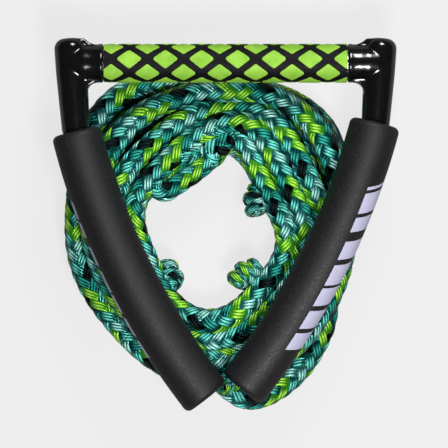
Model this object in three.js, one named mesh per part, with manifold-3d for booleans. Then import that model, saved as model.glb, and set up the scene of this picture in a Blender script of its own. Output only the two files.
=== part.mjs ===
// Tow rope handle: a short grip bar with moulded elbow caps, two foam floats on the
// bridle rope, and a thick hollow-braid tow line lying coiled underneath.
// Units are millimetres. X runs along the bar, +Y points from the apex of the floats
// to the bar, +Z points up. The origin is the middle of the handle's own box.

import * as THREE from 'three';
import { mergeVertices } from 'three/addons/utils/BufferGeometryUtils.js';
import Module from 'manifold-3d';

// ---------------------------------------------------------------- driving dimensions

// Bar, tube and grip
const FIT_GAP = 0.3;                // between pieces that touch on the real handle
const BAR_Y = 119;                  // axis of the bar above the origin
const GRIP_LENGTH = 181.5;
const GRIP_WALL = 3.3;
const TUBE_RADIUS = 11;
const TUBE_WALL = 1.6;
const TUBE_IN_CAP = 8.75;           // length of the tube that is plugged into each cap
const GRIP_RADIUS = TUBE_RADIUS + FIT_GAP + GRIP_WALL;
const TUBE_LENGTH = GRIP_LENGTH + 2 * TUBE_IN_CAP;

// End caps
const COLLAR_WALL = 3;
const COLLAR_LENGTH = 24.25;        // end of the grip to the arm's axis
const COLLAR_BEAD = 0.4;            // raised ring at the grip side of the collar
const COLLAR_WAIST = 0.4;           // hollow of the collar between its bead and the head
const COLLAR_TAPER = 1.2;           // how much the collar narrows inside the head
const COLLAR_RADIUS = TUBE_RADIUS + FIT_GAP + COLLAR_WALL;
const ARM_SPACING = GRIP_LENGTH + 2 * (FIT_GAP + COLLAR_LENGTH);
const HEAD_RADIUS = 11.9;
const HEAD_RISE = 18.8;             // top of the head above the bar axis
const HEAD_CORNER = 7.5;            // rounding of the head's top edge
const ARM_WALL = 2.8;               // at the nose, round the rope's channel
const ARM_NOSE = 2.8;               // length of the tapered nose
const NOSE_TAPER = 1.8;             // how much the nose narrows
const ARM_LENGTH = 54;              // bar axis to the end of the arm
const ARM_LEAN = 4.0;               // degrees that the arms close in, going down
const WEB_REACH = 9;                // fillet between collar and arm
const WEB_THICKNESS = 15;
const SHOULDER_REACH = 5.8;         // slope from the collar up to the head's top
const SHOULDER_FLAT = 1.8;          // how far inside the head's edge that slope ends
const SHOULDER_THICKNESS = 11;
const CHANNEL_GAP = 0.8;            // rope to the wall of its channel
const ELBOW_RADIUS = 13;            // bend of the rope inside a cap
const BUSH_FLANGE = 2;
const BUSH_DEPTH = 9;

// Bridle rope and floats
const BRIDLE_RADIUS = 5;
const MOUTH_PLAY = 2.2;             // arm to the float's mouth, so that the bar can fold
const FLOAT_WALL = 6.2;             // foam round the mouth
const FLOAT_RIM = 4.5;              // rounding of the float's ends
const FLOAT_BEND = 530;             // radius of the float's own curve
const ARM_IN_FLOAT = 6.27;          // mean length of an arm inside its float
const TIP_Y = -127.6;               // mean height of the two float tips
const TIP_LEAN = -0.9;              // the apex lies a little to the left
const TIP_GAP = 1.2;                // between the two tips where they meet
const SLIDE = 3.3;                  // left float has slid down, right float up
const MOUTH_FLARE = 0.8;            // how much wider the mouth bore is at its bottom
const MOUTH_DEPTH = 12;
const BORE_SHOULDER = 5;            // cone from the mouth bore to the rope bore
const ROPE_BREAK = 2;               // the floats' ropes start this far past the mouth bore
const ROPE_TURNS_DOWN = 34;         // before the tip, where the rope starts to leave the bore
const ROPE_SPREAD = 0.6 * BRIDLE_RADIUS;    // each rope enters the knot this far from its middle
const BORE_RADIUS = BRIDLE_RADIUS + CHANNEL_GAP;
const ARM_RADIUS_END = BORE_RADIUS + ARM_WALL;
const ARM_RADIUS_MOUTH = ARM_RADIUS_END + NOSE_TAPER;
const MOUTH_BORE = ARM_RADIUS_MOUTH + MOUTH_PLAY;
const FLOAT_RADIUS = MOUTH_BORE + FLOAT_WALL;

// Tow line: the coil under the handle, its lead, its knots and its eye
const LINE_RADIUS = 7.5;
const COIL_GAP = 0.5;               // coil to the underside of the floats
const COIL_HEIGHT = 41;
const COIL_EDGE = 5;                // rounding of the coil solid's edges
const COIL_TOP = -FLOAT_RADIUS - COIL_GAP;
const FLOOR = COIL_TOP - COIL_HEIGHT;
const COIL_CENTRE = new THREE.Vector2(-10, -10);
// Radii of the coil's outline from that centre, every 30 degrees from +X to +Y
const COIL_OUTER = [108, 121, 131, 118, 136, 122, 112, 107, 110, 114, 113, 109];
const COIL_INNER = [50, 45, 56, 66, 55, 57, 50, 46, 53, 58, 50, 48];
const BRIDLE_KNOT = { at: [-0.5, TIP_Y + 6.1, COIL_TOP - 5.7], across: 9.4, along: 10.5 };
const LIFT_AXIS = { y: TIP_Y - 5.4, z: COIL_TOP - 9.3 };    // hinge of the lifting handle
const LIFT_RANGE = 150;             // degrees
const STOPPER_KNOTS = [
  { at: [24, 16, COIL_TOP - 12.3], across: 10.5, along: 12.5, turn: 100 },
  { at: [15, -40, COIL_TOP - 12.3], across: 11, along: 13, turn: 55 },
  { at: [-43, -42, COIL_TOP - 14.3], across: 10.5, along: 12.5, turn: 120 },
];
const EYE_RADIUS = 6.5;
const EYE_BIGHT = [-46.5, 31.5];    // centre of the eye's round end
const EYE_WIDTH = EYE_RADIUS + 0.9; // half the distance between its two legs
const EYE_LENGTH = 38;
const EYE_TURN = 33;                // degrees of its legs above +X
const EYE_Z = COIL_TOP - EYE_RADIUS - 2.8;
const THROAT_LENGTH = 15;           // splice that closes the eye
const THROAT_RADIUS = 2 * EYE_RADIUS;
const THROAT_FLATNESS = 0.66;       // its thickness over its width
const CORD_GAP = 2 * FIT_GAP;       // coil solid to the pieces let into it

const ROUND = 28;                   // sides of the turned pieces
const FOAM_SIDES = 22;
const ROPE_SIDES = 8;
const LINE_SIDES = 10;
const BAR_TILT = THREE.MathUtils.degToRad(ARM_LEAN);
const MOUTH_Y = BAR_Y - ARM_LENGTH * Math.cos(BAR_TILT) + ARM_IN_FLOAT;   // mean height of the mouths

// ---------------------------------------------------------------- colours and finishes

const finish = (color, roughness, metalness = 0) =>
  new THREE.MeshStandardMaterial({ color, roughness, metalness });
const BRIGHT_ALLOY = finish(0xb9bcc0, 0.35, 1);
const LIME_RUBBER = finish(0x8fd440, 0.55);
const GLOSS_BLACK = finish(0x0b0b0c, 0.12);
const GREY_NYLON = finish(0x3a3b3d, 0.45);
const FOAM = finish(0x2a292c, 0.85);
const ROPE = finish(0x2f7f78, 0.6);
const ROPE_DARK = finish(0x235f5c, 0.65);

// ---------------------------------------------------------------- solids

const wasm = await Module();
wasm.setup();

function bare(geometry) {
  const copy = geometry.clone();
  copy.deleteAttribute('normal');
  copy.deleteAttribute('uv');
  return mergeVertices(copy, 1e-4);
}

function toSolid(geometry) {
  const clean = bare(geometry);
  const vertProperties = new Float32Array(clean.attributes.position.array);
  const triVerts = new Uint32Array(clean.index.array);
  return new wasm.Manifold(new wasm.Mesh({ numProp: 3, vertProperties, triVerts }));
}

function toGeometry(solid) {
  const mesh = solid.getMesh();
  const geometry = new THREE.BufferGeometry();
  geometry.setAttribute('position', new THREE.BufferAttribute(mesh.vertProperties, 3));
  geometry.setIndex(new THREE.BufferAttribute(mesh.triVerts, 1));
  return geometry;
}

const join = (...geometries) => geometries.map(toSolid).reduce((sum, next) => sum.add(next));

function cut(solid, ...tools) {
  return tools.reduce((rest, tool) => rest.subtract(toSolid(tool)), solid);
}

// A profile of [radius, height] pairs turned about the Y axis
function turned(profile, sides = ROUND) {
  const points = profile.map(([radius, height]) => new THREE.Vector2(radius, height));
  return new THREE.LatheGeometry(points, sides);
}

// The profile of a plain ring, closed on itself
function ring(inner, outer, from, to) {
  return [[inner, from], [outer, from], [outer, to], [inner, to], [inner, from]];
}

// A corner rounded from one direction to another, as profile points
function corner(centreR, centreH, radius, fromDeg, toDeg, steps = 3) {
  return Array.from({ length: steps + 1 }, (_, i) => {
    const angle = THREE.MathUtils.degToRad(fromDeg + ((toDeg - fromDeg) * i) / steps);
    return [centreR + radius * Math.cos(angle), centreH + radius * Math.sin(angle)];
  });
}

function disc(radius, sides) {
  const outline = Array.from({ length: sides }, (_, i) => {
    const angle = (2 * Math.PI * i) / sides;
    return new THREE.Vector2(radius * Math.cos(angle), radius * Math.sin(angle));
  });
  return new THREE.Shape(outline);
}

const smooth = (points) => new THREE.CatmullRomCurve3(points, false, 'centripetal');

function tube(points, radius, sides, steps) {
  return new THREE.ExtrudeGeometry(disc(radius, sides), { steps, extrudePath: smooth(points) });
}

function addPiece(group, name, geometry, material) {
  const mesh = new THREE.Mesh(geometry, material);
  mesh.name = name;
  group.add(mesh);
  return mesh;
}

// ---------------------------------------------------------------- shared lines

// The axis of an arm: from the bar's axis down to the float. side is -1 left, 1 right.
function armPoint(side, down) {
  const x = side * (ARM_SPACING / 2 - down * Math.sin(BAR_TILT));
  return new THREE.Vector3(x, BAR_Y - down * Math.cos(BAR_TILT), 0);
}

// Where an arm's axis crosses a given height
function armAtHeight(side, y) {
  return armPoint(side, (BAR_Y - y) / Math.cos(BAR_TILT));
}

// The arc that a float follows, through its mouth and its tip with the float's own bend
function floatArc(side, tipSpread) {
  const mouth = armAtHeight(side, MOUTH_Y + side * SLIDE);
  const tip = new THREE.Vector3(side * tipSpread + TIP_LEAN, TIP_Y + side * SLIDE, 0);
  const chord = tip.clone().sub(mouth);
  const half = Math.asin(chord.length() / 2 / FLOAT_BEND);
  const chordAngle = Math.atan2(-side * chord.x, -chord.y);
  return { side, mouth, tip, length: 2 * half * FLOAT_BEND, startAngle: chordAngle - half,
           tipAngle: chordAngle + half };
}

// Half the distance between the tips at which they just clear each other
function settledTipSpread() {
  let spread = FLOAT_RADIUS;
  for (let pass = 0; pass < 12; pass += 1) {
    const angle = (floatArc(-1, spread).tipAngle + floatArc(1, spread).tipAngle) / 2;
    const across = TIP_GAP / Math.cos(angle) + 2 * FLOAT_RADIUS * Math.cos(angle);
    spread = (across - 2 * SLIDE * Math.tan(angle)) / 2;
  }
  return spread;
}

const TIP_SPREAD = settledTipSpread();

// A point on a float's centre line, with the direction towards the V's inside
function onFloat(arc, along) {
  const angle = arc.startAngle + along / FLOAT_BEND;
  const x = arc.mouth.x
    + arc.side * FLOAT_BEND * (Math.cos(angle) - Math.cos(arc.startAngle));
  const y = arc.mouth.y - FLOAT_BEND * (Math.sin(angle) - Math.sin(arc.startAngle));
  const inward = new THREE.Vector3(-arc.side * Math.cos(angle), Math.sin(angle), 0);
  return { centre: new THREE.Vector3(x, y, 0), inward };
}

// Bends a piece turned about Y so that its length follows the float's arc
function bendAlong(geometry, arc) {
  const place = geometry.attributes.position;
  for (let i = 0; i < place.count; i += 1) {
    const { centre, inward } = onFloat(arc, place.getY(i));
    const offset = arc.side * place.getX(i);
    place.setXYZ(i, centre.x + offset * inward.x, centre.y + offset * inward.y, place.getZ(i));
  }
  return geometry;
}

// ---------------------------------------------------------------- bar, grip and caps

function barTube() {
  const half = TUBE_LENGTH / 2;
  return turned(ring(TUBE_RADIUS - TUBE_WALL, TUBE_RADIUS, -half, half));
}

function gripSleeve() {
  const half = GRIP_LENGTH / 2;
  return turned(ring(TUBE_RADIUS + FIT_GAP, GRIP_RADIUS, -half, half));
}

// A flanged bush that keeps the rope off the tube's cut edge
function tubeBush() {
  const bore = BORE_RADIUS;
  const plug = TUBE_RADIUS - TUBE_WALL - FIT_GAP;
  const seat = FIT_GAP;
  return turned([[bore, -BUSH_DEPTH], [plug, -BUSH_DEPTH], [plug, seat], [TUBE_RADIUS, seat],
    [TUBE_RADIUS, seat + BUSH_FLANGE], [bore, seat + BUSH_FLANGE], [bore, -BUSH_DEPTH]]);
}

// Points of the rope's centre line from the middle of the bar to the end of one arm
function barRopePoints(side) {
  const turnX = ARM_SPACING / 2 - ELBOW_RADIUS;
  const elbow = [15, 40, 65, 88].map((deg) => {
    const angle = THREE.MathUtils.degToRad(deg);
    return new THREE.Vector3(side * (turnX + ELBOW_RADIUS * Math.sin(angle)),
      BAR_Y - ELBOW_RADIUS * (1 - Math.cos(angle)), 0);
  });
  const straight = [0.25, 0.6, 0.92].map((part) => new THREE.Vector3(side * turnX * part, BAR_Y, 0));
  const arm = [0.45, 0.7, 1].map((part) => armPoint(side, ARM_LENGTH * part));
  return [...straight, ...elbow, ...arm];
}

function bridleRopeBar(radius, extra = 0) {
  const right = barRopePoints(1);
  const left = barRopePoints(-1).reverse();
  const points = [...left, ...right];
  if (extra > 0) {
    points.push(armPoint(1, ARM_LENGTH + extra));
    points.unshift(armPoint(-1, ARM_LENGTH + extra));
  }
  return tube(points, radius, ROPE_SIDES, 44);
}

const CHANNEL_OVERRUN = 12;         // the cut runs on past the nose, to open it

// The arm and its rounded head, turned about the arm's own axis
function capArm() {
  const top = HEAD_RISE;
  const headFlat = HEAD_RADIUS - HEAD_CORNER;
  return turned([
    [0, -ARM_LENGTH], [ARM_RADIUS_END, -ARM_LENGTH],
    [ARM_RADIUS_MOUTH, -ARM_LENGTH + ARM_NOSE],
    [(ARM_RADIUS_MOUTH + HEAD_RADIUS) / 2 + 0.2, -ARM_LENGTH * 0.45],
    [HEAD_RADIUS, -ELBOW_RADIUS * 0.5], [HEAD_RADIUS, top - HEAD_CORNER],
    ...corner(headFlat, top - HEAD_CORNER, HEAD_CORNER, 15, 90), [0, top],
  ]);
}

// The collar that the bar plugs into, turned about the bar's axis, +Y towards the arm
function capCollar(innerEnd, outerEnd) {
  const bead = COLLAR_RADIUS + COLLAR_BEAD;
  return turned([
    [0, innerEnd], [bead - 0.5, innerEnd], [bead, innerEnd + 0.8], [bead, innerEnd + 2.6],
    [COLLAR_RADIUS, innerEnd + 3.6], [COLLAR_RADIUS - COLLAR_WAIST, (innerEnd + outerEnd) / 2 - 3],
    [COLLAR_RADIUS, outerEnd - 9], [COLLAR_RADIUS - COLLAR_TAPER, outerEnd], [0, outerEnd],
  ]);
}

// The fillet that fills the corner between collar and arm
function capWeb(side) {
  const inner = ARM_SPACING / 2 - HEAD_RADIUS;
  const under = BAR_Y - COLLAR_RADIUS;
  const outline = new THREE.Shape();
  outline.moveTo(inner - WEB_REACH, under + 3);
  outline.lineTo(inner - WEB_REACH, under);
  outline.quadraticCurveTo(inner, under, inner, under - WEB_REACH);
  outline.lineTo(inner + 4, under - WEB_REACH);
  outline.lineTo(inner + 4, under + 3);
  outline.closePath();
  const web = new THREE.ExtrudeGeometry(outline,
    { depth: WEB_THICKNESS, bevelEnabled: false, curveSegments: 4 });
  web.translate(0, 0, -WEB_THICKNESS / 2);
  return side > 0 ? web : web.rotateY(Math.PI);
}

// The slope on the other side of the collar, up to the top of the head
function capShoulder(side) {
  const inner = ARM_SPACING / 2 - HEAD_RADIUS;
  const over = BAR_Y + COLLAR_RADIUS;
  const top = BAR_Y + HEAD_RISE - 0.4;
  const outline = new THREE.Shape();
  outline.moveTo(inner - SHOULDER_REACH, over - 3);
  outline.lineTo(inner + HEAD_CORNER + 3, over - 3);
  outline.lineTo(inner + HEAD_CORNER + 3, top);
  outline.lineTo(inner + SHOULDER_FLAT, top);
  outline.quadraticCurveTo(inner - 1.5, over + 0.4, inner - SHOULDER_REACH, over - 0.3);
  outline.closePath();
  const slope = new THREE.ExtrudeGeometry(outline,
    { depth: SHOULDER_THICKNESS, bevelEnabled: false, curveSegments: 4 });
  slope.translate(0, 0, -SHOULDER_THICKNESS / 2);
  return side > 0 ? slope : slope.rotateY(Math.PI);
}

function endCap(side) {
  const towardsArm = -side * Math.PI / 2;
  const arm = capArm().rotateZ(-side * BAR_TILT).translate(side * ARM_SPACING / 2, BAR_Y, 0);
  const collarStart = GRIP_LENGTH / 2 + FIT_GAP;
  const collar = capCollar(collarStart, ARM_SPACING / 2).rotateZ(towardsArm).translate(0, BAR_Y, 0);
  const socketEnd = TUBE_LENGTH / 2 + BUSH_FLANGE + 2 * FIT_GAP;
  const socket = turned([[0, 0], [TUBE_RADIUS + FIT_GAP, 0], [TUBE_RADIUS + FIT_GAP, socketEnd],
    [0, socketEnd]]).rotateZ(towardsArm).translate(0, BAR_Y, 0);
  const channel = bridleRopeBar(BORE_RADIUS, CHANNEL_OVERRUN);
  return toGeometry(cut(join(arm, collar, capWeb(side), capShoulder(side)), socket, channel));
}

// ---------------------------------------------------------------- floats and bridle rope

// The rope leaves each float through the underside of its tip and drops to the knot
function floatRopePoints(arc) {
  const start = MOUTH_DEPTH + ROPE_BREAK;
  const leave = arc.length - ROPE_TURNS_DOWN;
  const inside = Array.from({ length: 7 }, (_, i) =>
    onFloat(arc, start + ((leave - start) * i) / 6).centre);
  const drop = [[22, 2.2], [13, 7.5]].map(([beforeTip, depth]) => {
    const point = onFloat(arc, arc.length - beforeTip).centre;
    return point.setZ(-depth);
  });
  const [x, y, z] = BRIDLE_KNOT.at;
  return [...inside, ...drop, new THREE.Vector3(x + arc.side * ROPE_SPREAD, y + 2, z + 6)];
}

const FLOAT_ROPE_STEPS = 18;
const SLOT_STEPS = 8;

function floatRope(arc) {
  const rope = tube(floatRopePoints(arc), BRIDLE_RADIUS, ROPE_SIDES, FLOAT_ROPE_STEPS);
  return toGeometry(cut(toSolid(rope), knot(BRIDLE_KNOT, FIT_GAP)));
}

// Room for the rope where it breaks out through the underside of the tip
function floatSlot(arc) {
  const along = smooth(floatRopePoints(arc)).getSpacedPoints(FLOAT_ROPE_STEPS);
  return tube(along.slice(-SLOT_STEPS), BORE_RADIUS, ROPE_SIDES, 2 * SLOT_STEPS);
}

function foamFloat(arc) {
  const rimIn = FLOAT_RADIUS - FLOAT_RIM;
  const last = arc.length;
  const wall = Array.from({ length: 8 }, (_, i) =>
    [FLOAT_RADIUS, FLOAT_RIM + ((last - 2 * FLOAT_RIM) * (i + 1)) / 9]);
  const inside = Array.from({ length: 7 }, (_, i) =>
    [BORE_RADIUS, last + ((MOUTH_DEPTH + BORE_SHOULDER - last) * i) / 6]);
  const profile = [
    [MOUTH_BORE, 0], ...corner(rimIn, FLOAT_RIM, FLOAT_RIM, -90, 0), ...wall,
    ...corner(rimIn, last - FLOAT_RIM, FLOAT_RIM, 0, 90), ...inside,
    [MOUTH_BORE + MOUTH_FLARE, MOUTH_DEPTH], [MOUTH_BORE, 0],
  ];
  const body = toSolid(bendAlong(turned(profile, FOAM_SIDES), arc));
  return toGeometry(cut(body, floatSlot(arc)));
}

// ---------------------------------------------------------------- tow line

function knot({ at, across, along, turn = 0 }, grow = 0) {
  const ball = new THREE.SphereGeometry(1, 14, 9);
  ball.scale(along + grow, across + grow, across + grow);
  return ball.rotateZ(THREE.MathUtils.degToRad(turn)).translate(...at);
}

// Centre line of the lead, from the bridle knot to where it runs into the coil. The third
// number is how far it has sunk: 0 at the knot's height, 1 on the floor.
const KNOT_Y = BRIDLE_KNOT.at[1];
const LEAD_ROUTE = [
  [BRIDLE_KNOT.at[0], KNOT_Y, 0], [7.5, KNOT_Y - 8, 0.147], [18, KNOT_Y - 12.5, 0.4],
  [32, KNOT_Y - 9.5, 0.74], [47, -121, 0.946], [60, -107, 0.996], [70, -91, 1], [77, -75, 1],
  [80, -58, 1],
];

function leadPoint([x, y, sunk]) {
  const height = BRIDLE_KNOT.at[2] * (1 - sunk) + (FLOOR + LINE_RADIUS) * sunk;
  return new THREE.Vector3(x, y, height);
}

function leadRope(radius, grow = 0) {
  const points = LEAD_ROUTE.map(leadPoint);
  if (grow > 0) {
    const onward = points.at(-1).clone().sub(points.at(-2)).setLength(grow);
    points.push(points.at(-1).clone().add(onward));
  }
  return tube(points, radius, LINE_SIDES, 26);
}

// The knot at steps of its swing about the hinge, to scoop the lead's end clear of it
function swingOfKnot() {
  const steps = LIFT_RANGE / 10;
  return Array.from({ length: steps + 1 }, (_, i) => {
    const swing = THREE.MathUtils.degToRad((LIFT_RANGE * i) / steps);
    const ball = knot(BRIDLE_KNOT, FIT_GAP).translate(0, -LIFT_AXIS.y, -LIFT_AXIS.z);
    return ball.rotateX(swing).translate(0, LIFT_AXIS.y, LIFT_AXIS.z);
  });
}

// The closed outline through one radius every 30 degrees
function coilOutline(radii, inset) {
  const points = radii.map((radius, i) => {
    const angle = (2 * Math.PI * i) / radii.length;
    const reach = radius - inset;
    return new THREE.Vector3(COIL_CENTRE.x + reach * Math.cos(angle),
      COIL_CENTRE.y + reach * Math.sin(angle), 0);
  });
  const curve = new THREE.CatmullRomCurve3(points, true, 'centripetal');
  return curve.getPoints(40).slice(0, -1).map((point) => new THREE.Vector2(point.x, point.y));
}

function coilRing() {
  const outline = new THREE.Shape(coilOutline(COIL_OUTER, COIL_EDGE));
  outline.holes.push(new THREE.Path(coilOutline(COIL_INNER, -COIL_EDGE)));
  const depth = COIL_HEIGHT - 2 * COIL_EDGE;
  const body = new THREE.ExtrudeGeometry(outline, { depth, bevelThickness: COIL_EDGE,
    bevelSize: COIL_EDGE, bevelSegments: 1, curveSegments: 1 });
  return body.translate(0, 0, FLOOR + COIL_EDGE);
}

// Room under the float tips for the bridle knot and the ropes that come down to it
function knotPocket() {
  const [x, y, z] = BRIDLE_KNOT.at;
  const reach = BRIDLE_KNOT.along + 12;
  const depth = 60;
  const pocket = new THREE.CylinderGeometry(reach, reach, depth, 16);
  const bottom = z - BRIDLE_KNOT.across - 1;
  return pocket.rotateX(Math.PI / 2).translate(x, y - 2, bottom + depth / 2);
}

// The eye at the line's far end: two legs side by side joined by a round end
function eyePoints() {
  const arc = [90, 130, 180, 230, 270].map((deg) => {
    const angle = THREE.MathUtils.degToRad(deg);
    return [EYE_WIDTH * Math.cos(angle), EYE_WIDTH * Math.sin(angle)];
  });
  const legs = [0.5, 1].map((part) => [EYE_LENGTH * part, EYE_WIDTH]);
  const back = legs.map(([x, y]) => [x, -y]);
  return [...legs.reverse(), ...arc, ...back];
}

function towEye(radius, extra = 0) {
  const turn = THREE.MathUtils.degToRad(EYE_TURN);
  const route = eyePoints().map(([x, y], i, all) =>
    new THREE.Vector3(x + (i === 0 || i === all.length - 1 ? extra : 0), y, 0));
  const eye = tube(route, radius, LINE_SIDES, 22);
  return eye.rotateZ(turn).translate(...EYE_BIGHT, EYE_Z);
}

function eyeThroat(grow = 0) {
  const from = EYE_LENGTH + FIT_GAP - grow;
  const to = from + THROAT_LENGTH + 2 * grow;
  const band = turned([[0, from], [THROAT_RADIUS + grow, from], [THROAT_RADIUS + grow, to],
    [0, to]], 24);
  const turn = THREE.MathUtils.degToRad(EYE_TURN);
  return band.scale(1, 1, THROAT_FLATNESS).rotateZ(-Math.PI / 2 + turn).translate(...EYE_BIGHT, EYE_Z);
}

function ropeCoil() {
  const around = STOPPER_KNOTS.map((one) => knot(one, CORD_GAP));
  return toGeometry(cut(toSolid(coilRing()), leadRope(LINE_RADIUS + CORD_GAP, CORD_GAP), knotPocket(),
    towEye(EYE_RADIUS + CORD_GAP, 2), eyeThroat(CORD_GAP), ...around));
}

// ---------------------------------------------------------------- assembly

const handle = new THREE.Group();

const bar = new THREE.Group();
const acrossBar = (mesh) => {
  mesh.rotation.z = -Math.PI / 2;
  mesh.position.y = BAR_Y;
};
acrossBar(addPiece(bar, 'bar_tube', barTube(), BRIGHT_ALLOY));
acrossBar(addPiece(bar, 'grip_sleeve', gripSleeve(), LIME_RUBBER));
addPiece(bar, 'bridle_rope_bar', bridleRopeBar(BRIDLE_RADIUS), ROPE);
handle.add(bar);

for (const [side, word] of [[-1, 'left'], [1, 'right']]) {
  const bush = addPiece(bar, `tube_bush_${word}`, tubeBush(), GREY_NYLON);
  bush.rotation.z = -side * Math.PI / 2;
  bush.position.set(side * TUBE_LENGTH / 2, BAR_Y, 0);
  addPiece(bar, `end_cap_${word}`, endCap(side), GLOSS_BLACK);
  const arc = floatArc(side, TIP_SPREAD);
  addPiece(handle, `float_${word}`, foamFloat(arc), FOAM);
  addPiece(handle, `bridle_rope_${word}`, floatRope(arc), ROPE);
}
addPiece(handle, 'bridle_knot', knot(BRIDLE_KNOT), ROPE_DARK);

const line = new THREE.Group();
const lead = cut(toSolid(leadRope(LINE_RADIUS)), ...swingOfKnot());
addPiece(line, 'rope_lead', toGeometry(lead), ROPE);
addPiece(line, 'rope_coil', ropeCoil(), ROPE);
STOPPER_KNOTS.forEach((one, i) => addPiece(line, `stopper_knot_${i + 1}`, knot(one), ROPE_DARK));
addPiece(line, 'tow_eye', towEye(EYE_RADIUS), ROPE);
addPiece(line, 'eye_splice', eyeThroat(), ROPE_DARK);
handle.add(line);

export default handle;
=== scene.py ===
import math

import bpy
import numpy as np
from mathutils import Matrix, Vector


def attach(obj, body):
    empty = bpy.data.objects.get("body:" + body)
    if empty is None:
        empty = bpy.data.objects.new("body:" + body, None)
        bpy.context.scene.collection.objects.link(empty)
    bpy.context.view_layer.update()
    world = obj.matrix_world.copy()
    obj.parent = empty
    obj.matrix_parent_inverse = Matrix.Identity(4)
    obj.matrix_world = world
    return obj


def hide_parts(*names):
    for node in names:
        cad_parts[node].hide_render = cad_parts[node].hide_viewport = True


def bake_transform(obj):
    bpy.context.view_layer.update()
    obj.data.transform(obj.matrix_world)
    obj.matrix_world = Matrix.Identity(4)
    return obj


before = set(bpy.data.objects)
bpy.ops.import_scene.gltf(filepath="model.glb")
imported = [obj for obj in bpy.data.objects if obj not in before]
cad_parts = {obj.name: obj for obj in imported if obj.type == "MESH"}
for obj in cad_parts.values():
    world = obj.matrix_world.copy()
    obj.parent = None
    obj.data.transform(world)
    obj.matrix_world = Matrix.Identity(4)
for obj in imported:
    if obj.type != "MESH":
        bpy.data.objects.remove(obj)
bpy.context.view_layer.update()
MM = 0.001

# ---------------------------------------------------------------- camera, floor and light

PICTURE_WIDTH = 334.7 * MM          # what the picture spans at the height of the handle
PICTURE_CENTRE = (-1.1 * MM, -1.1 * MM)
CAMERA_HEIGHT = 2.4
SENSOR = 36.0                       # millimetres
FLOOR = -60.3 * MM                  # the table that the coil lies on
FLOOR_SIZE = 6
GLOW_CAST = 0.3                     # what the table gives to the pieces, and what the camera sees
GLOW_SEEN = 0.757
SKY_STRENGTH = 0.06

bpy.context.scene.view_settings.view_transform = "Standard"


def deselect_all():
    for thing in bpy.context.selected_objects:
        thing.select_set(False)


def set_camera():
    """Straight down on the handle as it lies, with the grip across the top of the picture"""
    bpy.ops.object.camera_add(location=(*PICTURE_CENTRE, CAMERA_HEIGHT), rotation=(0, 0, 0))
    camera = bpy.context.object
    camera.name = "camera_above"
    camera.data.sensor_width = SENSOR
    camera.data.lens = SENSOR * CAMERA_HEIGHT / PICTURE_WIDTH
    camera.data.clip_end = 20
    bpy.context.scene.camera = camera


def hang_softbox(name, place, aim, size, watts):
    """A square studio light at a place, facing a point"""
    bpy.ops.object.light_add(type="AREA", location=place)
    lamp = bpy.context.object
    lamp.name = name
    lamp.data.size = size
    lamp.data.energy = watts
    lamp.rotation_euler = (Vector(aim) - Vector(place)).to_track_quat("-Z", "Y").to_euler()


# ---------------------------------------------------------------- materials

def paint(code, alpha=1.0):
    """A colour written as sRGB hex, in the linear values that the shader works in"""
    parts = [int(code[i:i + 2], 16) / 255 for i in (1, 3, 5)]
    return tuple(c / 12.92 if c <= 0.04045 else ((c + 0.055) / 1.055) ** 2.4 for c in parts) + (alpha,)


def add_node(tree, kind, inputs=None, out=0, **settings):
    """Add a shader node with its settings, fill its sockets with values or links, and return one output"""
    node = tree.nodes.new("ShaderNode" + kind)
    for setting, value in settings.items():
        setattr(node, setting, value)
    for socket, value in (inputs or {}).items():
        if isinstance(value, bpy.types.NodeSocket):
            tree.links.new(value, node.inputs[socket])
        else:
            node.inputs[socket].default_value = value
    return node.outputs[out]


def new_material(name):
    """An empty node material, and its node tree"""
    material = bpy.data.materials.new(name)
    material.use_nodes = True
    material.node_tree.nodes.clear()
    return material, material.node_tree


def plain_floor():
    """A studio table of opal acrylic, lit from below: pale grey all over, with barely a shadow"""
    material, tree = new_material("opal_light_table")
    seen = add_node(tree, "LightPath")
    glow = add_node(tree, "MapRange", {0: seen, 3: GLOW_CAST, 4: GLOW_SEEN})
    shader = add_node(tree, "BsdfPrincipled", {"Base Color": paint("#4A4A4A"), "Roughness": 0.9,
                                               "Specular IOR Level": 0.0,
                                               "Emission Color": paint("#FFFFFF"),
                                               "Emission Strength": glow})
    add_node_output(tree, shader)
    return material


def add_node_output(tree, shader):
    output = tree.nodes.new("ShaderNodeOutputMaterial")
    tree.links.new(shader, output.inputs["Surface"])


def lay_floor():
    deselect_all()
    bpy.ops.mesh.primitive_plane_add(size=FLOOR_SIZE, location=(0, 0, FLOOR))
    floor = bpy.context.object
    floor.name = "floor"
    floor.data.materials.append(plain_floor())


def light_studio():
    world = bpy.data.worlds.new("studio")
    bpy.context.scene.world = world
    world.use_nodes = True
    world.node_tree.nodes["Background"].inputs["Color"].default_value = paint("#FFFFFF")
    world.node_tree.nodes["Background"].inputs["Strength"].default_value = SKY_STRENGTH
    hang_softbox("softbox_behind", (0.22, 0.9, 0.75), (0, 0, 0), 0.35, 12)
    hang_softbox("softbox_in_front", (0.18, -0.42, 1.1), (0, 0, 0), 0.3, 17.5)


set_camera()
light_studio()
lay_floor()

# ---------------------------------------------------------------- the tow line's route

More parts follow.
